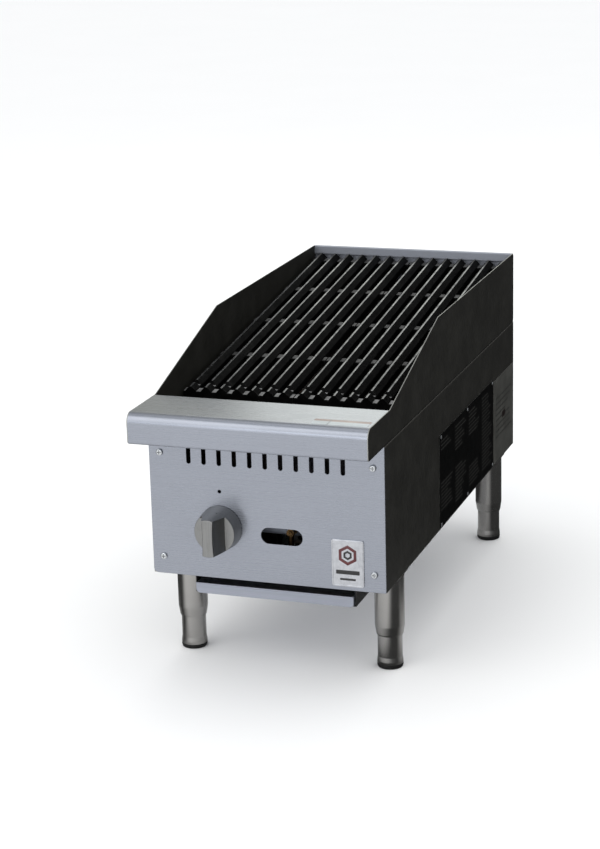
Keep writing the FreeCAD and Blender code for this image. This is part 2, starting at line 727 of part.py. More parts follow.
def knob():
    """A cone scooped on both sides so that a bar stands across its face, hollow from behind."""
    base, face, front = KNOB_BASE_Y, KNOB_FACE_Y, KNOB_GRIP_Y
    taper = (KNOB_BASE_RADIUS - KNOB_FACE_RADIUS) / (base - face)
    tip = KNOB_FACE_RADIUS - taper * (face - front)
    profile = [(0, front, 0), (tip, front, 0), (KNOB_BASE_RADIUS, base, 0.6)]
    profile += [(KNOB_BASE_RADIUS - KNOB_WALL, base, 0), (KNOB_FACE_RADIUS - KNOB_WALL, face + 3, 1.5)]
    cone = turned_y(profile + [(0, face + 3, 0)], KNOB_X, KNOB_Z)
    slab = box(KNOB_X - 32, KNOB_X + 32, front - 1, face, KNOB_Z - 32, KNOB_Z + 32)
    body = cone.cut(slab.cut(knob_bar()))
    body = break_edges(body, 0.9, lambda e: e.BoundBox.YMax < front + 0.01)
    body = break_edges(body, 0.6, on_face_rim)
    hub = rod(8, (KNOB_X, face + 1, KNOB_Z), (KNOB_X, base - 1.2, KNOB_Z))
    bore = stem(STEM_RADIUS + 0.03, STEM_TIP_Y - 0.2, base)
    return fuse(body, hub).cut(bore)


def on_face_rim(edge):
    """The two arcs where the knob's face meets its cone."""
    bounds = edge.BoundBox
    flat = abs(bounds.YMin - KNOB_FACE_Y) < 0.01 and abs(bounds.YMax - KNOB_FACE_Y) < 0.01
    return flat and max(bounds.XMax - KNOB_X, KNOB_X - bounds.XMin) > KNOB_FACE_RADIUS - 0.2


def gas_tube():
    start = (KNOB_X, 20, 166)
    points = [start, (KNOB_X, 20, VENTURI_Z), (BURNER_X, 20, VENTURI_Z), (BURNER_X, 52, VENTURI_Z)]
    return bent_rod(points, 13, GAS_TUBE_RADIUS)


def orifice_nut():
    ring = tube(7.2, GAS_TUBE_RADIUS + 0.05, (BURNER_X, 44, VENTURI_Z), (BURNER_X, 52, VENTURI_Z))
    collar = rod(7.2, (BURNER_X, 52, VENTURI_Z), (BURNER_X, 62, VENTURI_Z))
    return fuse(ring, collar)


def main_orifice():
    hood = rod(6.2, (BURNER_X, 62, VENTURI_Z), (BURNER_X, 80, VENTURI_Z))
    hood = break_edges(hood, 2.5, lambda e: e.BoundBox.YMin > 79.9)
    return hood.cut(rod(0.9, (BURNER_X, 70, VENTURI_Z), (BURNER_X, 82, VENTURI_Z)))


def pilot_valve():
    x, z = PILOT_X, PILOT_Z
    body = rod(4.6, (x, 18, z), (x, 38, z))
    collar = rod(5.6, (x, 26, z), (x, 31, z))
    outlet = rod(3.4, (x, 22, z - 3), (x, 22, 170))
    pipe = rod(PIPE_RADIUS + 0.05, (x - 20, MANIFOLD_Y, MANIFOLD_Z), (x + 20, MANIFOLD_Y, MANIFOLD_Z))
    whole = fuse(body, collar, outlet).cut(pipe)
    return whole.cut(rod(2.55, (x, 17, z), (x, 26, z)))


def pilot_screw():
    x, z = PILOT_X, PILOT_Z
    screw = rod(2.5, (x, 15.5, z), (x, 25.5, z))
    return screw.cut(box(x - 3, x + 3, 15, 16.8, z - 0.5, z + 0.5))


def pilot_tube():
    points = [(PILOT_X, 22, 170), (PILOT_X, 22, 160), (PILOT_BURNER_X, 22, 160)]
    points += [(PILOT_BURNER_X, 124, 160), (PILOT_BURNER_X, 124, 188)]
    return bent_rod(points, 7, PILOT_TUBE_RADIUS)


def pilot_burner():
    x, y = PILOT_BURNER_X, 124
    barrel = tube(5, PILOT_TUBE_RADIUS + 0.1, (x, y, 186), (x, y, 188)).fuse(rod(5, (x, y, 188), (x, y, 196)))
    hood = box(x - 7, x + 7, y - 6, y + 9, 200, 201.2)
    back = box(x - 7, x + 7, y - 6, y - 4.8, 186, 201.2)
    bracket = box(x - 7, x + 7, FIREBOX_FRONT + FIREBOX_SHEET, y - 4.8, 186, 187.2)
    return fuse(barrel, hood, back, bracket)


def main():
    os.makedirs("parts", exist_ok=True)
    side = side_panel()
    runner = tray_runner()
    right_splash = splash()
    shield = heat_shield_side()
    rail = radiant_rail()
    right_grate = grate()

    write_part("front_panel", front_panel())
    write_part("side_panel_right", side)
    write_part("side_panel_left", mirrored(side))
    write_part("rear_panel", rear_panel())
    write_part("base_pan", base_pan())
    write_part("tray_runner_right", *runner)
    write_part("tray_runner_left", *[mirrored(piece) for piece in runner])
    write_part("splash_right", right_splash)
    write_part("splash_left", mirrored(right_splash))
    write_part("back_splash", back_splash())
    write_part("front_ledge", front_ledge())

    write_part("panel_screws", *panel_screws())
    write_part("badge_plate", badge())
    write_part("data_plate", side_plate(DATA_PLATE))
    write_part("label_plate", side_plate(LABEL_PLATE))
    write_part("data_plate_screws", *plate_screws())

    write_part("leg_plates", *leg_plates())
    corners = {"front_left": (-LEG_X, LEG_YS[0]), "front_right": (LEG_X, LEG_YS[0])}
    corners.update({"rear_left": (-LEG_X, LEG_YS[1]), "rear_right": (LEG_X, LEG_YS[1])})
    for corner, (x, y) in corners.items():
        write_part("leg_tube_" + corner, leg_tube(x, y))
        write_part("leg_foot_" + corner, leg_foot(x, y))
        write_part("foot_pad_" + corner, foot_pad(x, y))

    write_part("drip_tray", drip_tray())
    write_part("grate_right", right_grate)
    write_part("grate_left", mirrored(right_grate))
    write_part("grate_rest_front", grate_rest(109, 126))
    write_part("grate_rest_rear", grate_rest(632, 649))

    write_part("heat_shield_right", shield)
    write_part("heat_shield_left", mirrored(shield))
    write_part("heat_shield_front", heat_shield_front())
    write_part("heat_shield_rear", heat_shield_rear())
    write_part("grease_chute", grease_chute())
    write_part("radiant_rails", rail, mirrored(rail))
    write_part("radiant", radiant())

    write_part("burner", burner())
    rear_rest = burner_rest(570, BURNER_TUBE_Z - BURNER_TUBE_RADIUS + 0.5)
    write_part("burner_rests", burner_rest(182, BURNER_HEADER_BOTTOM), rear_rest)
    write_part("venturi", venturi())
    write_part("air_shutter", air_shutter())

    write_part("manifold_pipe", manifold_pipe())
    write_part("manifold_cap", manifold_cap())
    write_part("manifold_elbow", manifold_elbow())
    write_part("feed_pipe", feed_pipe())
    write_part("pipe_brackets", *pipe_brackets())
    write_part("gas_valve", gas_valve())
    write_part("valve_stem", valve_stem())
    write_part("knob", knob())
    write_part("gas_tube", gas_tube())
    write_part("orifice_nut", orifice_nut())
    write_part("main_orifice", main_orifice())
    write_part("pilot_valve", pilot_valve())
    write_part("pilot_screw", pilot_screw())
    write_part("pilot_tube", pilot_tube())
    write_part("pilot_burner", pilot_burner())


main()
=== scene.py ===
import bpy
import json
import math
from mathutils import Matrix, Vector


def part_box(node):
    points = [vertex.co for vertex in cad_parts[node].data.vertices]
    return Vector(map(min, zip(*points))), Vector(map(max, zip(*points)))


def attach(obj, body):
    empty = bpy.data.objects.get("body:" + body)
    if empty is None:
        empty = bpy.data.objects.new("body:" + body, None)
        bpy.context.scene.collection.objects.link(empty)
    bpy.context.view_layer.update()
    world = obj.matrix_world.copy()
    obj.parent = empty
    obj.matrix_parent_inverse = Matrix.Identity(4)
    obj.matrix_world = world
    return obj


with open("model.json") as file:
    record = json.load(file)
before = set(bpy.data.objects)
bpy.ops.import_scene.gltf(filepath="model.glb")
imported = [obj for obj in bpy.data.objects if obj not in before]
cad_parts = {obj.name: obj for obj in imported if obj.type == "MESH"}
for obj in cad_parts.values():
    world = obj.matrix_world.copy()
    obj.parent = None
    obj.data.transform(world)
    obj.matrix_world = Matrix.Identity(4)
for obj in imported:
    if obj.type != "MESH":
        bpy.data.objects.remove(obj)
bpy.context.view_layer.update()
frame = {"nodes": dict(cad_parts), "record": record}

# Looks of a countertop gas charbroiler. Metres, +Z up, the front faces -Y.
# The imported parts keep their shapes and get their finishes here; the small trim is modelled here.

# ---- shader building ----

def place(tree, kind, inputs=None, **settings):
    """Adds a shader node, sets its settings, and sets or links its inputs."""
    node = tree.nodes.new("ShaderNode" + kind)
    for name, value in settings.items():
        setattr(node, name, value)
    pairs = inputs.items() if isinstance(inputs, dict) else enumerate(inputs or [])
    for key, value in pairs:
        if isinstance(value, bpy.types.NodeSocket):
            tree.links.new(value, node.inputs[key])
        else:
            node.inputs[key].default_value = value
    return node


def maths(tree, operation, *values):
    return place(tree, "Math", list(values), operation=operation).outputs[0]


def times(tree, first, second):
    return maths(tree, "MULTIPLY", first, second)


def minus(tree, first, second):
    return maths(tree, "SUBTRACT", first, second)


def above(tree, value, limit):
    """One where the value is over the limit, nought elsewhere."""
    return maths(tree, "GREATER_THAN", value, limit)


def below(tree, value, limit):
    return maths(tree, "LESS_THAN", value, limit)


def distance(tree, value, middle):
    """How far the value is from the middle, either way."""
    return maths(tree, "ABSOLUTE", minus(tree, value, middle))


def on_piece(tree):
    """Where a point of the piece is, in metres."""
    return place(tree, "TexCoord").outputs["Object"]


def piece_axes(tree):
    return place(tree, "SeparateXYZ", [on_piece(tree)]).outputs[0:3]


def surface_normal(tree):
    """The piece's own outward direction, split into its three axes."""
    return place(tree, "SeparateXYZ", [place(tree, "TexCoord").outputs["Normal"]]).outputs


def fade(tree, value, low, high, out_low=0.0, out_high=1.0):
    """Value taken from low..high to out_low..out_high with soft ends."""
    inputs = [value, low, high, out_low, out_high]
    return place(tree, "MapRange", inputs, interpolation_type="SMOOTHSTEP").outputs[0]


def blend_colour(tree, amount, first, second):
    node = tree.nodes.new("ShaderNodeMix")
    node.data_type = "RGBA"
    for key, value in ((0, amount), (6, first), (7, second)):
        if isinstance(value, bpy.types.NodeSocket):
            tree.links.new(value, node.inputs[key])
        elif key == 0:
            node.inputs[key].default_value = value
        else:
            node.inputs[key].default_value = (*value, 1.0)
    return node.outputs[2]


def noise(tree, where, scale, detail=3.0, roughness=0.55):
    inputs = {"Vector": where, "Scale": scale, "Detail": detail, "Roughness": roughness}
    return place(tree, "TexNoise", inputs).outputs["Fac"]


def stretched(tree, where, factors):
    return place(tree, "VectorMath", [where, factors], operation="MULTIPLY").outputs[0]


def start_group(name, inputs, outputs):
    tree = bpy.data.node_groups.new(name, "ShaderNodeTree")
    for label, value in inputs.items():
        kind = "NodeSocketVector" if isinstance(value, tuple) else "NodeSocketFloat"
        socket = tree.interface.new_socket(label, in_out="INPUT", socket_type=kind)
        socket.default_value = value
    for label in outputs:
        tree.interface.new_socket(label, in_out="OUTPUT", socket_type="NodeSocketFloat")
    given = tree.nodes.new("NodeGroupInput")
    result = tree.nodes.new("NodeGroupOutput")
    where = on_piece(tree)
    return tree, given.outputs, result.inputs, where


def brushed_grain_group():
    """Parallel lines of a polishing belt: a fine and a broad set."""
    start = {"Stretch": (5.0, 900.0, 900.0), "Broad": 0.4}
    tree, given, result, where = start_group("brushed grain", start, ["Tone", "Height"])
    lines = stretched(tree, where, given["Stretch"])
    fine = noise(tree, lines, 1.0, 4.0, 0.75)
    broad = noise(tree, lines, 0.16, 2.0, 0.5)
    mixed = maths(tree, "MULTIPLY_ADD", minus(tree, broad, fine), given["Broad"], fine)
    tree.links.new(fade(tree, mixed, 0.28, 0.72), result["Tone"])
    tree.links.new(mixed, result["Height"])
    return tree


def handling_group():
    """Smears and cloudy patches where sheet metal has been wiped and touched."""
    start = {"Size": 9.0, "Low": 0.48, "High": 0.66}
    tree, given, result, where = start_group("handling marks", start, ["Mask"])
    cloud = noise(tree, where, given["Size"], 5.0, 0.62)
    streak = noise(tree, stretched(tree, where, (18.0, 18.0, 55.0)), 1.0, 4.0, 0.6)
    both = maths(tree, "MULTIPLY_ADD", streak, 0.35, times(tree, cloud, 0.65))
    tree.links.new(fade(tree, both, given["Low"], given["High"]), result["Mask"])
    return tree


def bare_edge_group():
    """Where an edge is sharp enough to lose its finish, broken up by noise."""
    start = {"Radius": 0.0008, "Low": 0.03, "High": 0.25}
    tree, given, result, where = start_group("bare edges", start, ["Mask"])
    rounded = place(tree, "Bevel", {"Radius": given["Radius"]}, samples=4).outputs[0]
    flat = place(tree, "NewGeometry").outputs["Normal"]
    agree = place(tree, "VectorMath", [rounded, flat], operation="DOT_PRODUCT").outputs["Value"]
    sharp = fade(tree, minus(tree, 1.0, agree), given["Low"], given["High"])
    broken = fade(tree, noise(tree, where, 140.0, 4.0, 0.65), 0.34, 0.56, 0.25, 1.0)
    tree.links.new(times(tree, sharp, broken), result["Mask"])
    return tree


def dust_group():
    """Kitchen dust and film on faces that look up."""
    start = {"Amount": 0.3, "Size": 30.0}
    tree, given, result, where = start_group("settled dust", start, ["Mask"])
    facing = place(tree, "SeparateXYZ", [place(tree, "NewGeometry").outputs["Normal"]]).outputs["Z"]
    upward = fade(tree, facing, 0.35, 0.95)
    patches = fade(tree, noise(tree, where, given["Size"], 6.0, 0.7), 0.38, 0.68)
    amount = times(tree, times(tree, upward, patches), given["Amount"])
    tree.links.new(amount, result["Mask"])
    return tree


def cast_skin_group():
    """The pebbly skin of a sand casting: coarse swells, fine grain and a few pits."""
    start = {"Size": 420.0, "Pits": 0.25}
    tree, given, result, where = start_group("cast skin", start, ["Height", "Tone"])
    grain = noise(tree, where, given["Size"], 5.0, 0.68)
    swell = noise(tree, where, 60.0, 2.0, 0.5)
    cells = place(tree, "TexVoronoi", {"Vector": where, "Scale": given["Size"]}).outputs["Distance"]
    pits = fade(tree, cells, 0.0, 0.45, 1.0, 0.0)
    height = maths(tree, "MULTIPLY_ADD", swell, 0.5, grain)
    height = minus(tree, height, times(tree, pits, given["Pits"]))
    tree.links.new(height, result["Height"])
    tree.links.new(fade(tree, noise(tree, where, 95.0, 5.0, 0.65), 0.35, 0.68), result["Tone"])
    return tree


def spatter_group():
    """Small round drops, some large and some tiny, gathered in patches."""
    start = {"Size": 160.0, "Reach": 0.2}
    tree, given, result, where = start_group("spatter", start, ["Mask"])
    drops = place(tree, "TexVoronoi", {"Vector": where, "Scale": given["Size"], "Randomness": 1.0})
    chance = place(tree, "SeparateColor", [drops.outputs["Color"]]).outputs[0]
    size = times(tree, maths(tree, "POWER", chance, 3.0), given["Reach"])
    shape = below(tree, drops.outputs["Distance"], size)
    patch = fade(tree, noise(tree, where, 14.0, 3.0), 0.5, 0.62)
    tree.links.new(times(tree, shape, patch), result["Mask"])
    return tree


def scratch_group():
    """Hairline scratches in two leaning directions."""
    start = {"Density": 0.62}
    tree, given, result, where = start_group("hairline scratches", start, ["Mask"])
    marks = []
    for turn, stretch in ((0.12, (14.0, 900.0, 1100.0)), (-0.75, (30.0, 900.0, 1300.0))):
        inputs = {"Vector": where, "Angle": turn}
        turned = place(tree, "VectorRotate", inputs, rotation_type="Y_AXIS").outputs[0]
        lines = noise(tree, stretched(tree, turned, stretch), 1.0, 1.0, 0.5)
        full = maths(tree, "ADD", given["Density"], 0.08)
        marks.append(fade(tree, lines, given["Density"], full))
    both = maths(tree, "MAXIMUM", marks[0], marks[1])
    patch = fade(tree, noise(tree, where, 24.0, 3.0), 0.5, 0.66)
    tree.links.new(times(tree, both, patch), result["Mask"])
    return tree


groups = {
    "grain": brushed_grain_group(),
    "handling": handling_group(),
    "edges": bare_edge_group(),
    "dust": dust_group(),
    "cast": cast_skin_group(),
    "spatter": spatter_group(),
    "scratches": scratch_group(),
}


def effect(tree, name, **inputs):
    node = tree.nodes.new("ShaderNodeGroup")
    node.node_tree = groups[name]
    for label, value in inputs.items():
        node.inputs[label].default_value = value
    return node.outputs


def new_finish(name, **sockets):
    """A material with one Principled shader whose plain numbers are set on its sockets."""
    material = bpy.data.materials.new(name)
    material.use_nodes = True
    tree = material.node_tree
    shader = tree.nodes["Principled BSDF"]
    for label, value in sockets.items():
        shader.inputs[label.replace("_", " ")].default_value = value
    return material, tree, shader


def connect(tree, shader, **sources):
    for label, source in sources.items():
        tree.links.new(source, shader.inputs[label.replace("_", " ")])


def relief(tree, height, strength, depth):
    inputs = {"Height": height, "Strength": strength, "Distance": depth}
    return place(tree, "Bump", inputs).outputs[0]


def tinted(colour, factor):
    return tuple(min(1.0, channel * factor) for channel in colour)


HAIRLINE_DEPTH = 0.0001
DUST = (0.42, 0.40, 0.36)


def brushed_metal(name, colour, roughness, stretch, contrast=0.10, smears=0.5, dusty=0.15,
                  metal=1.0, broad=0.4, depth=0.18):
    """Belt-polished sheet or bar: grain, smears, hairlines, bright worn edges, a little dust."""
    material, tree, shader = new_finish(name, Metallic=metal, Specular_IOR_Level=0.3)
    grain = effect(tree, "grain", Stretch=stretch, Broad=broad)
    dark, light = tinted(colour, 1 - contrast), tinted(colour, 1 + contrast)
    tone = blend_colour(tree, grain["Tone"], dark, light)
    smear = effect(tree, "handling")["Mask"]
    tone = blend_colour(tree, times(tree, smear, 0.3 * smears), tone, tinted(colour, 0.72))
    scratch = effect(tree, "scratches")["Mask"]
    rubbed = tinted(colour, 1.2)
    tone = blend_colour(tree, times(tree, scratch, 0.10), tone, rubbed)
    edge = effect(tree, "edges", Radius=0.0006)["Mask"]
    tone = blend_colour(tree, times(tree, edge, 0.5), tone, rubbed)
    dust = effect(tree, "dust", Amount=dusty)["Mask"]
    tone = blend_colour(tree, dust, tone, DUST)
    rough = maths(tree, "MULTIPLY_ADD", grain["Tone"], 0.08, roughness - 0.04)
    rough = maths(tree, "MULTIPLY_ADD", smear, 0.09 * smears, rough)
    rough = maths(tree, "MULTIPLY_ADD", dust, 0.35, rough)
    height = maths(tree, "MULTIPLY_ADD", scratch, -0.08, grain["Height"])
    normal = relief(tree, height, depth, HAIRLINE_DEPTH)
    connect(tree, shader, Base_Color=tone, Roughness=rough, Normal=normal)
    return material


def coated_metal(name, colour, roughness, gloss, bare, wear_radius=0.0006, dusty=0.2):
    """Baked coating: orange peel, chalky patches, chips to bare metal along the edges."""
    material, tree, shader = new_finish(name, Specular_IOR_Level=gloss)
    where = on_piece(tree)
    patches = fade(tree, noise(tree, where, 26.0, 5.0, 0.65), 0.35, 0.7)
    tone = blend_colour(tree, patches, tinted(colour, 0.85), tinted(colour, 1.2))
    smear = effect(tree, "handling", Size=7.0)["Mask"]
    tone = blend_colour(tree, times(tree, smear, 0.3), tone, tinted(colour, 1.7))
    spots = effect(tree, "spatter", Size=90.0, Reach=0.16)["Mask"]
    tone = blend_colour(tree, times(tree, spots, 0.35), tone, tinted(colour, 0.4))
    dust = effect(tree, "dust", Amount=dusty)["Mask"]
    tone = blend_colour(tree, dust, tone, (0.16, 0.15, 0.13))
    edge = effect(tree, "edges", Radius=wear_radius)["Mask"]
    tone = blend_colour(tree, edge, tone, bare)
    rough = maths(tree, "MULTIPLY_ADD", patches, 0.12, roughness - 0.06)
    rough = maths(tree, "MULTIPLY_ADD", spots, -0.2, rough)
    normal = relief(tree, noise(tree, where, 700.0, 3.0), 0.18, 0.0002)
    metal = times(tree, edge, 0.8)
    connect(tree, shader, Base_Color=tone, Roughness=rough, Normal=normal, Metallic=metal)
    return material


# ---- finishes ----

# Colours are linear red, green and blue. A grain stretch holds lines per metre along x, y and z.

STAINLESS = (0.345, 0.363, 0.411)
PANEL_GRAIN = (4.0, 1300.0, 1300.0)
TRAY_GRAIN = (4.0, 1100.0, 1100.0)
TURNED_GRAIN = (9.0, 9.0, 5200.0)
DRAWN_GRAIN = (500.0, 500.0, 500.0)


def ledge_and_panel_steel():
    return brushed_metal("brushed stainless sheet", STAINLESS, 0.27, PANEL_GRAIN, contrast=0.03,
                         metal=0.88, broad=0.12, depth=0.02, smears=0.3, dusty=0.05)


def back_and_rear_steel():
    """The same sheet with a duller face, where heat and grease have taken its polish."""
    return brushed_metal("dulled stainless sheet", STAINLESS, 0.40, PANEL_GRAIN, contrast=0.05,
                         metal=0.45, broad=0.2, depth=0.08)


def tray_steel():
    colour = (0.37, 0.39, 0.45)
    return brushed_metal("brushed tray steel", colour, 0.36, TRAY_GRAIN, smears=0.8, metal=0.66)


def side_sheet():
    """Near-black sheet with bare cut edges lightened as a painted highlight, a painted highlight band
    under the seam and a dark seam along the foot of the splash.
    """
    charcoal, bare = (0.0160, 0.0155, 0.0128), (0.11, 0.11, 0.10)
    material = coated_metal("near black side sheet", charcoal, 0.6, 0.2, bare, wear_radius=0.0012)
    tree = material.node_tree
    shader = tree.nodes["Principled BSDF"]
    coat_tone = shader.inputs["Base Color"].links[0].from_socket
    coat_metal = shader.inputs["Metallic"].links[0].from_socket
    seam_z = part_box("side_panel_right")[1].z
    over_seam = minus(tree, piece_axes(tree)[2], seam_z)
    # Painted highlight: a lighter band just under the top of the side panel, below the seam, where the
    # fold catches light.
    fold_highlight = times(tree, fade(tree, over_seam, -0.0022, -0.0012), below(tree, over_seam, 0.0))
    tone = blend_colour(tree, times(tree, fold_highlight, 0.85), coat_tone, (0.052, 0.049, 0.043))
    crack = times(tree, above(tree, over_seam, 0.0), below(tree, over_seam, 0.0014))
    tone = blend_colour(tree, crack, tone, (0.002, 0.002, 0.002))
    sideways = maths(tree, "ABSOLUTE", surface_normal(tree)["X"])
    # Edges that don't face sideways turn light bare metal: partly real bare cut edges, partly a painted
    # highlight line along the sheet edges.
    cut_edge_and_highlight = fade(tree, sideways, 0.35, 0.85, 1.0, 0.0)
    tone = blend_colour(tree, cut_edge_and_highlight, tone, (0.42, 0.42, 0.40))
    metal = maths(tree, "MAXIMUM", coat_metal, cut_edge_and_highlight)
    connect(tree, shader, Base_Color=tone, Metallic=metal)
    return material


def black_sheet():
    black, bare = (0.008, 0.008, 0.009), (0.12, 0.12, 0.12)
    return coated_metal("black enamelled sheet", black, 0.5, 0.3, bare)


def firebox_steel():
    """Aluminised sheet, browned and blued by the burner."""
    material, tree, shader = new_finish("heat stained steel", Metallic=1.0)
    where = on_piece(tree)
    heat = fade(tree, noise(tree, where, 11.0, 4.0, 0.6), 0.3, 0.7)
    tone = blend_colour(tree, heat, (0.16, 0.12, 0.09), (0.13, 0.13, 0.16))
    soot = fade(tree, noise(tree, where, 31.0, 6.0, 0.7), 0.42, 0.62)
    tone = blend_colour(tree, times(tree, soot, 0.8), tone, (0.02, 0.018, 0.016))
    drips = effect(tree, "spatter", Size=120.0, Reach=0.3)["Mask"]
    tone = blend_colour(tree, drips, tone, (0.03, 0.018, 0.008))
    rough = maths(tree, "MULTIPLY_ADD", soot, 0.35, 0.42)
    normal = relief(tree, noise(tree, where, 260.0, 4.0), 0.25, 0.0003)
    connect(tree, shader, Base_Color=tone, Roughness=rough, Normal=normal)
    return material


GRATE_RIDGE_START = (-0.180, 0.3431)
GRATE_SLOPE = math.radians(6.756)


def grate_iron():
    """Seasoned cast iron: black flanks, ridges rubbed to grey with a painted highlight line that stops
    short of the rear ends as painted shade, duller tops on the cross pieces.
    """
    material, tree, shader = new_finish("seasoned grate iron", Specular_IOR_Level=0.05)
    y, z = piece_axes(tree)[1:3]
    skin = effect(tree, "cast", Size=380.0)
    black = blend_colour(tree, skin["Tone"], (0.0012, 0.0012, 0.0013), (0.0042, 0.0040, 0.0039))
    run = minus(tree, y, GRATE_RIDGE_START[0])
    rise = minus(tree, z, GRATE_RIDGE_START[1])
    level = times(tree, rise, math.cos(GRATE_SLOPE))
    level = maths(tree, "MULTIPLY_ADD", run, -math.sin(GRATE_SLOPE), level)
    # Thin grey metal line along each bar's ridge: partly rubbed iron, partly a painted highlight.
    ridge_highlight = fade(tree, level, -0.00010, -0.00001)
    # Painted shade: the ridge line fades out short of the rear ends of the bars.
    ridge_highlight = times(tree, ridge_highlight, fade(tree, y, 0.300, 0.318, 1.0, 0.0))
    rubbed = fade(tree, noise(tree, on_piece(tree), 75.0, 5.0, 0.7), 0.28, 0.6, 0.45, 1.0)
    flat_top = fade(tree, surface_normal(tree)["Z"], 0.93, 0.98)
    near_top = fade(tree, level, -0.0095, -0.0078)
    cross = times(tree, times(tree, flat_top, near_top), rubbed)
    near_front = fade(tree, y, -0.185, -0.165, 0.62, 0.22)
    tone = blend_colour(tree, times(tree, cross, near_front), black, (0.42, 0.42, 0.42))
    edge = effect(tree, "edges", Radius=0.0012, Low=0.05, High=0.4)["Mask"]
    tone = blend_colour(tree, times(tree, edge, 0.10), tone, (0.30, 0.30, 0.29))
    shine = times(tree, ridge_highlight, rubbed)
    tone = blend_colour(tree, shine, tone, (0.20, 0.203, 0.208))
    grease = effect(tree, "handling", Size=16.0, Low=0.44, High=0.6)["Mask"]
    rough = maths(tree, "MULTIPLY_ADD", grease, -0.16, 0.62)
    rough = maths(tree, "MULTIPLY_ADD", shine, -0.26, rough)
    metal = maths(tree, "MAXIMUM", shine, times(tree, cross, 0.5))
    normal = relief(tree, skin["Height"], 0.35, 0.0004)
    connect(tree, shader, Base_Color=tone, Roughness=rough, Metallic=metal, Normal=normal)
    return material


def burner_iron():
    """Rough casting with rust in patches."""
    material, tree, shader = new_finish("raw burner iron", Specular_IOR_Level=0.3)
    where = on_piece(tree)
    skin = effect(tree, "cast", Size=300.0, Pits=0.4)
    tone = blend_colour(tree, skin["Tone"], (0.035, 0.033, 0.031), (0.075, 0.068, 0.062))
    rust = fade(tree, noise(tree, where, 40.0, 7.0, 0.72), 0.5, 0.7)
    tone = blend_colour(tree, times(tree, rust, 0.7), tone, (0.13, 0.055, 0.025))
    rough = maths(tree, "MULTIPLY_ADD", rust, 0.15, 0.66)
    normal = relief(tree, skin["Height"], 0.5, 0.0006)
    connect(tree, shader, Base_Color=tone, Roughness=rough, Normal=normal)
    return material


def leg_steel():
    colour = (0.42, 0.41, 0.395)
    return brushed_metal("turned leg steel", colour, 0.22, TURNED_GRAIN, contrast=0.05,
                         smears=0.4, broad=0.0, depth=0.05)


def plated_steel():
    """Dull zinc plate with its spangle."""
    material, tree, shader = new_finish("dull zinc plate", Metallic=1.0)
    where = on_piece(tree)
    cells = place(tree, "TexVoronoi", {"Vector": where, "Scale": 170.0}).outputs["Color"]
    spangle = place(tree, "SeparateColor", [cells]).outputs[0]
    tone = blend_colour(tree, spangle, (0.30, 0.30, 0.29), (0.40, 0.40, 0.40))
    smear = effect(tree, "handling", Size=22.0)["Mask"]
    tone = blend_colour(tree, times(tree, smear, 0.5), tone, (0.20, 0.19, 0.17))
    rough = maths(tree, "MULTIPLY_ADD", spangle, 0.14, 0.36)
    normal = relief(tree, noise(tree, where, 600.0, 3.0), 0.15, 0.0001)
    connect(tree, shader, Base_Color=tone, Roughness=rough, Normal=normal)
    return material


def bright_plate():
    """Bright zinc on screws and stems, with painted shade darkening the recesses."""
    material, tree, shader = new_finish("bright zinc plate", Metallic=1.0)
    where = on_piece(tree)
    recess_shade = place(tree, "AmbientOcclusion", {"Distance": 0.002}, samples=6).outputs["AO"]
    film = fade(tree, noise(tree, where, 900.0, 4.0), 0.35, 0.7)
    tone = blend_colour(tree, film, (0.66, 0.68, 0.70), (0.52, 0.54, 0.56))
    # Painted shade: the tone goes towards near black where the ambient occlusion finds recesses.
    tone = blend_colour(tree, fade(tree, recess_shade, 0.35, 0.9, 0.85, 0.0), tone, (0.05, 0.045, 0.04))
    rough = maths(tree, "MULTIPLY_ADD", film, 0.14, 0.16)
    normal = relief(tree, noise(tree, where, 1500.0, 2.0), 0.12, 0.00008)
    connect(tree, shader, Base_Color=tone, Roughness=rough, Normal=normal)
    return material


KNOB_AXIS = (-0.0606, 0.1930)
KNOB_FACE_Y = -0.3365
INDEX_ANGLE = math.radians(41.0)
INDEX_SETBACK = 0.004
INDEX_START = 0.0245
INDEX_HALF_LENGTH = 0.0055
INDEX_HALF_WIDTH = 0.0012
DOT_PLACE = (-0.0565, -0.3362, 0.2191)
DOT_RADIUS = 0.0009


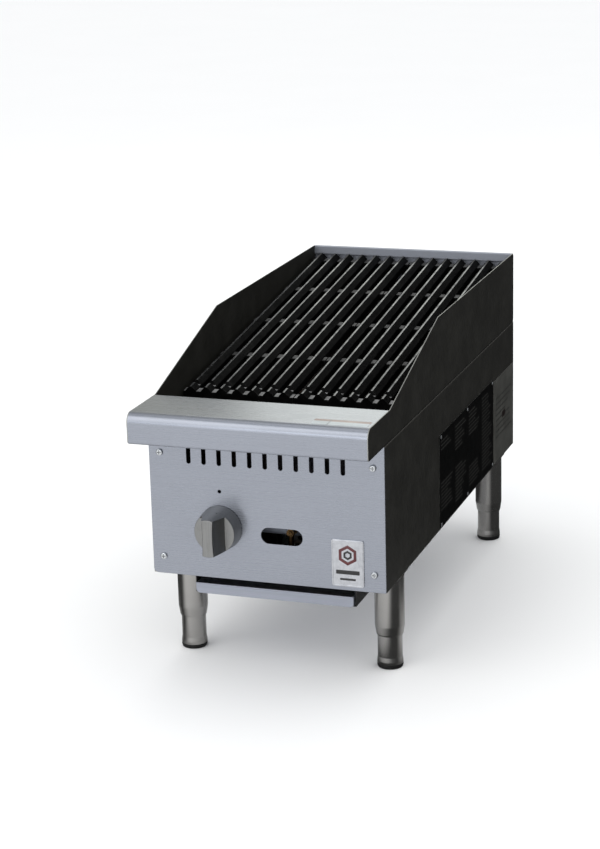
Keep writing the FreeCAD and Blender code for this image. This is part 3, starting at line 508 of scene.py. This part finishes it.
def knob_metal():
    """Satin cast knob: turned skirt, brushed grip, a painted index mark on the rim and a dot."""
    material, tree, shader = new_finish("satin knob metal", Metallic=1.0)
    x, y, z = piece_axes(tree)
    where = on_piece(tree)
    across = minus(tree, x, KNOB_AXIS[0])
    up = minus(tree, z, KNOB_AXIS[1])
    squares = maths(tree, "MULTIPLY_ADD", across, across, times(tree, up, up))
    radius = maths(tree, "SQRT", squares)
    turned = place(tree, "CombineXYZ", [times(tree, radius, 1500.0), 0.0, 0.0]).outputs[0]
    rings = noise(tree, turned, 1.0, 2.0)
    upright = noise(tree, stretched(tree, where, (1500.0, 260.0, 30.0)), 1.0, 3.0, 0.65)
    on_grip = fade(tree, y, KNOB_FACE_Y - 0.002, KNOB_FACE_Y - 0.0005, 1.0, 0.0)
    lines = maths(tree, "MULTIPLY_ADD", minus(tree, upright, rings), on_grip, rings)
    dark, light = (0.255, 0.255, 0.251), (0.295, 0.295, 0.291)
    tone = blend_colour(tree, fade(tree, lines, 0.3, 0.7), dark, light)
    smear = effect(tree, "handling", Size=38.0, Low=0.5)["Mask"]
    tone = blend_colour(tree, times(tree, smear, 0.25), tone, (0.19, 0.185, 0.17))
    edge = effect(tree, "edges", Radius=0.0006)["Mask"]
    tone = blend_colour(tree, times(tree, edge, 0.3), tone, (0.46, 0.46, 0.45))
    outward = times(tree, across, -math.sin(INDEX_ANGLE))
    outward = maths(tree, "MULTIPLY_ADD", up, math.cos(INDEX_ANGLE), outward)
    aside = times(tree, across, math.cos(INDEX_ANGLE))
    aside = maths(tree, "MULTIPLY_ADD", up, math.sin(INDEX_ANGLE), aside)
    from_rim = distance(tree, y, KNOB_FACE_Y + INDEX_SETBACK)
    in_length = times(tree, above(tree, outward, INDEX_START), below(tree, from_rim, INDEX_HALF_LENGTH))
    in_width = below(tree, maths(tree, "ABSOLUTE", aside), INDEX_HALF_WIDTH)
    from_dot = place(tree, "VectorMath", [where, DOT_PLACE], operation="DISTANCE").outputs["Value"]
    dot = below(tree, from_dot, DOT_RADIUS)
    mark = maths(tree, "MAXIMUM", times(tree, in_length, in_width), dot)
    tone = blend_colour(tree, mark, tone, (0.01, 0.01, 0.01))
    metal = minus(tree, 1.0, mark)
    rough = maths(tree, "MULTIPLY_ADD", smear, 0.10, 0.34)
    normal = relief(tree, lines, 0.2, HAIRLINE_DEPTH)
    connect(tree, shader, Base_Color=tone, Roughness=rough, Metallic=metal, Normal=normal)
    return material


def pad_rubber():
    """Black rubber with a pale bloom and scuffed edges."""
    material, tree, shader = new_finish("moulded rubber", Specular_IOR_Level=0.35)
    where = on_piece(tree)
    bloom = fade(tree, noise(tree, where, 90.0, 5.0), 0.4, 0.7)
    tone = blend_colour(tree, bloom, (0.006, 0.006, 0.006), (0.016, 0.0155, 0.015))
    scuff = effect(tree, "edges", Radius=0.001)["Mask"]
    tone = blend_colour(tree, times(tree, scuff, 0.4), tone, (0.05, 0.05, 0.048))
    rough = maths(tree, "MULTIPLY_ADD", bloom, 0.15, 0.55)
    normal = relief(tree, noise(tree, where, 1200.0, 3.0), 0.3, 0.0002)
    connect(tree, shader, Base_Color=tone, Roughness=rough, Normal=normal)
    return material


def badge_metal():
    """Polished plate, faintly rippled."""
    material, tree, shader = new_finish("polished badge plate", Metallic=1.0)
    where = on_piece(tree)
    wave = noise(tree, where, 45.0, 2.0)
    haze = fade(tree, noise(tree, where, 130.0, 5.0, 0.7), 0.4, 0.7)
    tone = blend_colour(tree, haze, (0.60, 0.61, 0.64), (0.48, 0.49, 0.52))
    rough = maths(tree, "MULTIPLY_ADD", haze, 0.12, 0.16)
    normal = relief(tree, wave, 0.25, 0.0006)
    connect(tree, shader, Base_Color=tone, Roughness=rough, Normal=normal)
    return material


ROWS_PER_BLOCK = 4.0
PLATE_MARGIN = 0.009


def ruled_plate(name, node, ground, ink, row_height, columns, gloss, patch=None):
    """A side plate with blocks of blank ruled rows, perhaps one dark patch, and no lettering."""
    material, tree, shader = new_finish(name, Specular_IOR_Level=gloss)
    y, z = piece_axes(tree)[1:3]
    where = on_piece(tree)
    low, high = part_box(node)
    row = maths(tree, "DIVIDE", minus(tree, z, low.z), row_height)
    across = times(tree, minus(tree, y, low.y), columns / (high.y - low.y))
    column = maths(tree, "FLOOR", across)
    share = maths(tree, "FRACT", across)
    from_rule = distance(tree, maths(tree, "FRACT", row), 0.5)
    cell = place(tree, "CombineXYZ", [column, maths(tree, "FLOOR", row), 0.0]).outputs[0]
    reach = place(tree, "TexWhiteNoise", {"Vector": cell}, noise_dimensions="3D").outputs["Value"]
    block_row = maths(tree, "FLOOR", maths(tree, "DIVIDE", row, ROWS_PER_BLOCK))
    block = place(tree, "CombineXYZ", [column, block_row, 7.0]).outputs[0]
    kept = place(tree, "TexWhiteNoise", {"Vector": block}, noise_dimensions="3D").outputs["Value"]
    printed = below(tree, share, maths(tree, "MULTIPLY_ADD", reach, 0.35, 0.55))
    mask = times(tree, below(tree, from_rule, 0.13), above(tree, share, 0.10))
    mask = times(tree, times(tree, mask, printed), above(tree, kept, 0.22))
    over_foot = above(tree, z, low.z + PLATE_MARGIN)
    under_head = below(tree, z, high.z - PLATE_MARGIN)
    mask = times(tree, mask, times(tree, over_foot, under_head))
    cloud = fade(tree, noise(tree, where, 35.0, 5.0), 0.35, 0.7)
    tone = blend_colour(tree, cloud, tinted(ground, 0.85), tinted(ground, 1.15))
    tone = blend_colour(tree, mask, tone, ink)
    if patch:
        patch_y, patch_z, half_width, half_height, patch_colour = patch
        beside = below(tree, distance(tree, y, patch_y), half_width)
        level = below(tree, distance(tree, z, patch_z), half_height)
        tone = blend_colour(tree, times(tree, beside, level), tone, patch_colour)
    edge = effect(tree, "edges", Radius=0.0007)["Mask"]
    tone = blend_colour(tree, times(tree, edge, 0.7), tone, (0.16, 0.16, 0.15))
    rough = maths(tree, "MULTIPLY_ADD", cloud, 0.12, 0.5)
    normal = relief(tree, noise(tree, where, 500.0, 2.0), 0.1, 0.0001)
    connect(tree, shader, Base_Color=tone, Roughness=rough, Normal=normal)
    return material


def data_plate_black():
    ground, ink = (0.0026, 0.0026, 0.0026), (0.030, 0.030, 0.028)
    return ruled_plate("black ruled plate", "data_plate", ground, ink, 0.0052, 4, 0.03)


def label_plate_grey():
    ground, ink = (0.050, 0.050, 0.045), (0.022, 0.022, 0.020)
    patch = (0.283, 0.190, 0.010, 0.0045, (0.012, 0.006, 0.005))
    return ruled_plate("grey ruled plate", "label_plate", ground, ink, 0.0082, 1, 0.1, patch)


def painted_pipe():
    grey, bare = (0.42, 0.45, 0.53), (0.32, 0.32, 0.31)
    return coated_metal("grey painted pipe", grey, 0.36, 0.5, bare, dusty=0.3)


def valve_brass():
    """Turned brass in dark tones as painted shade inside the body, with darker tarnish patches, still
    bright where it is rubbed.
    """
    material, tree, shader = new_finish("tarnished and shaded brass", Metallic=1.0)
    where = on_piece(tree)
    lines = noise(tree, stretched(tree, where, (60.0, 1500.0, 60.0)), 1.0, 3.0)
    # Painted shade: both grain tones are far darker than brass, for the shade inside the body.
    dark, light = (0.085, 0.048, 0.020), (0.15, 0.085, 0.034)
    tone = blend_colour(tree, fade(tree, lines, 0.3, 0.7), dark, light)
    # Darker patches: part tarnish, part painted shade.
    tarnish_and_shade = fade(tree, noise(tree, where, 85.0, 6.0, 0.7), 0.40, 0.62)
    tone = blend_colour(tree, times(tree, tarnish_and_shade, 0.85), tone, (0.030, 0.018, 0.012))
    edge = effect(tree, "edges", Radius=0.0007, Low=0.02, High=0.2)["Mask"]
    tone = blend_colour(tree, times(tree, edge, 0.8), tone, (0.80, 0.56, 0.24))
    rough = maths(tree, "MULTIPLY_ADD", tarnish_and_shade, 0.25, 0.26)
    normal = relief(tree, lines, 0.2, HAIRLINE_DEPTH)
    connect(tree, shader, Base_Color=tone, Roughness=rough, Normal=normal)
    return material


def tube_aluminium():
    colour = (0.58, 0.60, 0.63)
    return brushed_metal("drawn aluminium tube", colour, 0.3, DRAWN_GRAIN, contrast=0.08,
                         smears=0.6)


finishes = {
    "stainless_sheet": ledge_and_panel_steel(),
    "dark_side_sheet": side_sheet(),
    "black_sheet": black_sheet(),
    "firebox_steel": firebox_steel(),
    "grate_iron": grate_iron(),
    "burner_iron": burner_iron(),
    "knob_metal": knob_metal(),
    "bright_steel": bright_plate(),
    "leg_steel": leg_steel(),
    "leg_plate_steel": plated_steel(),
    "pad_rubber": pad_rubber(),
    "tray_steel": tray_steel(),
    "badge_metal": badge_metal(),
    "data_plate_black": data_plate_black(),
    "label_plate_grey": label_plate_grey(),
    "black_pipe": painted_pipe(),
    "valve_brass": valve_brass(),
    "tube_aluminium": tube_aluminium(),
}
for entry in frame["record"]["subparts"]:
    slots = frame["nodes"][entry["node"]].data.materials
    slots.clear()
    slots.append(finishes[entry["material_slot"]])
dulled_steel = back_and_rear_steel()
for name in ("back_splash", "rear_panel"):
    frame["nodes"][name].data.materials[0] = dulled_steel


# ---- trim modelled here ----

def deselect():
    bpy.ops.object.select_all(action="DESELECT")


def edit():
    bpy.ops.object.mode_set(mode="EDIT")
    bpy.ops.mesh.select_all(action="SELECT")


def leave_edit():
    bpy.ops.object.mode_set(mode="OBJECT")


def harden(piece, kind, **settings):
    """Adds a modifier and applies it."""
    modifier = piece.modifiers.new(kind.title(), kind)
    for key, value in settings.items():
        setattr(modifier, key, value)
    bpy.ops.object.modifier_apply(modifier=modifier.name)


def settle(piece, name, finish, angle=35.0):
    """Puts the piece's place in its mesh, smooths it and hands it to the body."""
    deselect()
    piece.select_set(True)
    bpy.context.view_layer.objects.active = piece
    bpy.ops.object.transform_apply(location=True, rotation=True, scale=True)
    bpy.ops.object.shade_smooth_by_angle(angle=math.radians(angle))
    piece.name = name
    piece.data.name = name
    piece.data.materials.clear()
    piece.data.materials.append(finish)
    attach(piece, "body")


TO_THE_FRONT = (math.radians(90.0), 0.0, 0.0)
TRIM_RISE = 0.0005


def thicken(piece, thickness):
    """Gives a flat piece its thickness and breaks its edges."""
    harden(piece, "SOLIDIFY", thickness=thickness, offset=1)
    harden(piece, "BEVEL", width=thickness * 0.35, segments=2, limit_method="ANGLE")


def flat_plate(middle, width, height, corner, thickness=TRIM_RISE, border=None, turn=TO_THE_FRONT):
    """A plate with rounded corners, or only its border where a border width is given."""
    deselect()
    bpy.ops.mesh.primitive_plane_add(size=1, location=middle, rotation=turn)
    piece = bpy.context.active_object
    piece.scale = (width, height, 1)
    bpy.ops.object.transform_apply(location=False, rotation=False, scale=True)
    edit()
    bpy.ops.mesh.bevel(offset=corner, segments=6, affect="VERTICES")
    if border:
        bpy.ops.mesh.select_all(action="SELECT")
        bpy.ops.mesh.inset(thickness=border)
        bpy.ops.mesh.delete(type="FACE")
    leave_edit()
    thicken(piece, thickness)
    return piece


def hexagon_ring(middle, outer, width, thickness=TRIM_RISE):
    """A flat six-sided ring that faces the front."""
    deselect()
    bpy.ops.mesh.primitive_circle_add(vertices=6, radius=outer, fill_type="NGON",
                                      location=middle, rotation=TO_THE_FRONT)
    piece = bpy.context.active_object
    edit()
    bpy.ops.mesh.inset(thickness=width)
    bpy.ops.mesh.delete(type="FACE")
    leave_edit()
    thicken(piece, thickness)
    return piece


def enamel(name, colour):
    """Glossy printing ink, a little thicker in places."""
    material, tree, shader = new_finish(name, Specular_IOR_Level=0.5, Coat_Weight=0.4,
                                        Coat_Roughness=0.12)
    where = on_piece(tree)
    pool = fade(tree, noise(tree, where, 220.0, 3.0), 0.3, 0.7)
    tone = blend_colour(tree, pool, tinted(colour, 0.75), tinted(colour, 1.2))
    rough = maths(tree, "MULTIPLY_ADD", pool, 0.12, 0.28)
    normal = relief(tree, noise(tree, where, 800.0, 2.0), 0.15, 0.0001)
    connect(tree, shader, Base_Color=tone, Roughness=rough, Normal=normal)
    return material


def badge_trim():
    """Raised border, two hexagon rings and two plain bars on the badge."""
    low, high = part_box("badge_plate")
    middle = (low + high) / 2
    face = low.y + 0.0001
    edge = 0.0013
    width, height = high.x - low.x - 2 * edge, high.z - low.z - 2 * edge
    border = flat_plate((middle.x, face, middle.z), width, height, 0.0024, border=0.0008)
    settle(border, "badge_border", finishes["badge_metal"])
    red = enamel("dark red enamel", (0.09, 0.008, 0.010))
    black = enamel("black enamel", (0.006, 0.006, 0.006))
    rings_middle = (middle.x, face, middle.z + 0.0105)
    settle(hexagon_ring(rings_middle, 0.0130, 0.0036), "badge_hexagon", red)
    settle(hexagon_ring(rings_middle, 0.0060, 0.0024), "badge_inner_hexagon", black)
    drops_lengths_heights = ((0.0115, 0.030, 0.0052), (0.0205, 0.020, 0.0026))
    for index, (drop, length, tall) in enumerate(drops_lengths_heights):
        bar = flat_plate((middle.x, face, middle.z - drop), length, tall, 0.0008)
        settle(bar, f"badge_bar_{index + 1}", black)


STICKER_MIDDLE = (0.1125, -0.3543)
STICKER_SIZE = (0.070, 0.0214)
STICKER_BAND_Y = -0.3515
STICKER_SPLIT_X = 0.098


def sticker_film():
    """Pale film with a warm band along its rear edge, one thin cross line and no lettering."""
    material, tree, shader = new_finish("pale sticker film", Specular_IOR_Level=0.4)
    x, y = piece_axes(tree)[0:2]
    where = on_piece(tree)
    cloud = fade(tree, noise(tree, where, 60.0, 4.0), 0.35, 0.7)
    tone = blend_colour(tree, cloud, (0.44, 0.48, 0.49), (0.52, 0.56, 0.57))
    band = above(tree, y, STICKER_BAND_Y)
    tone = blend_colour(tree, band, tone, (0.36, 0.29, 0.265))
    split = below(tree, distance(tree, x, STICKER_SPLIT_X), 0.0006)
    tone = blend_colour(tree, split, tone, (0.25, 0.26, 0.27))
    rough = maths(tree, "MULTIPLY_ADD", cloud, 0.15, 0.35)
    normal = relief(tree, noise(tree, where, 260.0, 3.0), 0.2, 0.0002)
    connect(tree, shader, Base_Color=tone, Roughness=rough, Normal=normal)
    return material


def ledge_sticker():
    """The blank film near the right end of the ledge."""
    ledge_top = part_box("front_ledge")[1].z
    middle = (*STICKER_MIDDLE, ledge_top)
    film = flat_plate(middle, *STICKER_SIZE, 0.0012, thickness=0.00018, turn=(0.0, 0.0, 0.0))
    settle(film, "ledge_sticker", sticker_film())


THREAD_ROOT = 0.01312
THREAD_CREST = 1.033
THREAD_PITCH = 0.00181
THREAD_TURNS = 10
THREAD_START = 0.0192  # back from the open end of the pipe


def inlet_thread():
    """The pipe thread at the rear end of the feed pipe, as plain ridges."""
    low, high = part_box("feed_pipe")
    middle = (low + high) / 2
    spot = (middle.x, high.y - THREAD_START, middle.z)
    deselect()
    bpy.ops.mesh.primitive_circle_add(vertices=64, radius=THREAD_ROOT, fill_type="NOTHING",
                                      location=spot, rotation=TO_THE_FRONT)
    piece = bpy.context.active_object
    edit()
    for step in range(2 * THREAD_TURNS):
        bpy.ops.mesh.extrude_region_move(TRANSFORM_OT_translate={"value": (0, THREAD_PITCH / 2, 0)})
        size = THREAD_CREST if step % 2 == 0 else 1 / THREAD_CREST
        bpy.ops.transform.resize(value=(size, 1, size), center_override=(spot[0], 0, spot[2]))
    bpy.ops.mesh.select_all(action="SELECT")
    bpy.ops.mesh.normals_make_consistent(inside=False)
    leave_edit()
    harden(piece, "SOLIDIFY", thickness=0.0003, offset=-1)
    settle(piece, "inlet_thread", finishes["leg_plate_steel"], angle=25.0)


badge_trim()
ledge_sticker()
inlet_thread()


# ---- floor, light and camera ----

AMBIENT = 1.04
DIM_SIDE = 0.05
BRIGHT_FRONT = 0.78
BRIGHT_UNDER = 0.75
FRONT_LEFT = (-0.25, -0.95, 0.2)
REAR_LEFT = (-0.45, 0.85, 0.27)


def grey_level(tree, value):
    return place(tree, "CombineColor", [value, value, value]).outputs[0]


def pale_floor():
    """Pale studio floor. In reflections it is bright before the part and under it, dim to the sides."""
    deselect()
    bpy.ops.mesh.primitive_plane_add(size=80, location=(0, 0, 0))
    floor = bpy.context.active_object
    floor.name = "studio_floor"
    material, tree, shader = new_finish("pale studio floor", Roughness=0.9, Specular_IOR_Level=0.1)
    x, y = piece_axes(tree)[0:2]
    angle = maths(tree, "ARCTAN2", x, minus(tree, -0.15, y))
    off_beam = distance(tree, angle, math.radians(-10.0))
    beam = fade(tree, off_beam, 0.52, 0.95, BRIGHT_FRONT, DIM_SIDE)
    under_angle = maths(tree, "ARCTAN2", minus(tree, x, 0.05), minus(tree, 0.40, y))
    under = fade(tree, maths(tree, "ABSOLUTE", under_angle), 0.25, 0.70, BRIGHT_UNDER, 0.0)
    beam = maths(tree, "MAXIMUM", beam, times(tree, under, fade(tree, y, -0.28, -0.15)))
    mirrored = place(tree, "LightPath").outputs["Is Glossy Ray"]
    grain = fade(tree, noise(tree, on_piece(tree), 3.0, 3.0), 0.2, 0.8)
    pale = blend_colour(tree, grain, (0.945, 0.945, 0.945), (0.955, 0.955, 0.955))
    connect(tree, shader, Base_Color=blend_colour(tree, mirrored, pale, grey_level(tree, beam)))
    floor.data.materials.append(material)


def towards(tree, direction, aim):
    return place(tree, "VectorMath", [direction, aim], operation="DOT_PRODUCT").outputs["Value"]


def studio_world():
    """White behind the part; the metal reflects a bright front left and a softer rear left."""
    world = bpy.data.worlds.new("studio")
    bpy.context.scene.world = world
    world.use_nodes = True
    tree = world.node_tree
    ground = tree.nodes["Background"]
    direction = place(tree, "TexCoord").outputs["Generated"]
    front = towards(tree, direction, FRONT_LEFT)
    rear = towards(tree, direction, REAR_LEFT)
    up = place(tree, "SeparateXYZ", [direction]).outputs["Z"]
    level = fade(tree, front, -0.1, 0.95, 0.06, 0.75)
    level = maths(tree, "ADD", level, fade(tree, up, 0.35, 0.95, 0.0, 0.35))
    behind = fade(tree, rear, 0.80, 0.97)
    level = maths(tree, "MULTIPLY_ADD", behind, 0.34, level)
    tint = blend_colour(tree, behind, (0.94, 0.97, 1.0), (1.0, 1.0, 0.84))
    mirrored = place(tree, "LightPath").outputs["Is Glossy Ray"]
    strength = maths(tree, "MULTIPLY_ADD", minus(tree, level, AMBIENT), mirrored, AMBIENT)
    tree.links.new(strength, ground.inputs["Strength"])
    tree.links.new(blend_colour(tree, mirrored, (0.98, 0.99, 1.0), tint), ground.inputs["Color"])


def softbox(name, spot, target, size, power, colour=(1.0, 1.0, 1.0)):
    """Rectangular light that the camera doesn't see, turned to its target."""
    data = bpy.data.lights.new(name, "AREA")
    data.shape = "RECTANGLE"
    data.size, data.size_y = size
    data.energy = power
    data.color = colour
    lamp = bpy.data.objects.new(name, data)
    bpy.context.scene.collection.objects.link(lamp)
    lamp.location = spot
    lamp.rotation_mode = "QUATERNION"
    lamp.rotation_quaternion = (Vector(target) - Vector(spot)).to_track_quat("-Z", "Y")
    lamp.visible_camera = False


CAMERA_ANGLES = (19.272, 16.1225, -1.503)
CAMERA_SPOT = (0.8691, -2.6652, 1.0532)
CAMERA_LENS = 91.29


def studio_camera():
    """Camera to the right of the front and a little above, looking down the part."""
    azimuth, elevation, roll = (math.radians(angle) for angle in CAMERA_ANGLES)
    reach = math.cos(elevation)
    back = Vector((math.sin(azimuth) * reach, -math.cos(azimuth) * reach, math.sin(elevation)))
    level = (-back).cross(Vector((0, 0, 1))).normalized()
    upright = level.cross(-back)
    side = level * math.cos(roll) + upright * math.sin(roll)
    top = upright * math.cos(roll) - level * math.sin(roll)
    data = bpy.data.cameras.new("camera")
    data.lens = CAMERA_LENS
    data.sensor_width = 36.0
    data.clip_end = 200.0
    camera = bpy.data.objects.new("camera", data)
    bpy.context.scene.collection.objects.link(camera)
    pose = Matrix((side, top, back)).transposed().to_4x4()
    pose.translation = CAMERA_SPOT
    camera.matrix_world = pose
    bpy.context.scene.camera = camera


pale_floor()
studio_world()
softbox("key", (-1.9, -2.8, 2.8), (0, -0.1, 0.2), (3.0, 3.0), 30.0, (1.0, 0.99, 0.97))
softbox("overhead", (0.2, 0.3, 3.0), (0, 0, 0.2), (2.4, 2.4), 9.0)
softbox("front_card", (-0.6, -3.4, 0.7), (0, 0, 0.2), (1.6, 1.0), 8.0, (0.95, 0.97, 1.0))
softbox("rear_card", (-0.35, 3.0, 1.35), (0, 0, 0.35), (1.75, 0.9), 6.2, (1.0, 1.03, 0.96))
softbox("rear_high", (-0.50, 3.0, 2.3), (0, 0, 0.35), (2.0, 0.9), 6.0, (0.97, 0.98, 1.0))
studio_camera()
bpy.context.scene.view_settings.view_transform = "Standard"
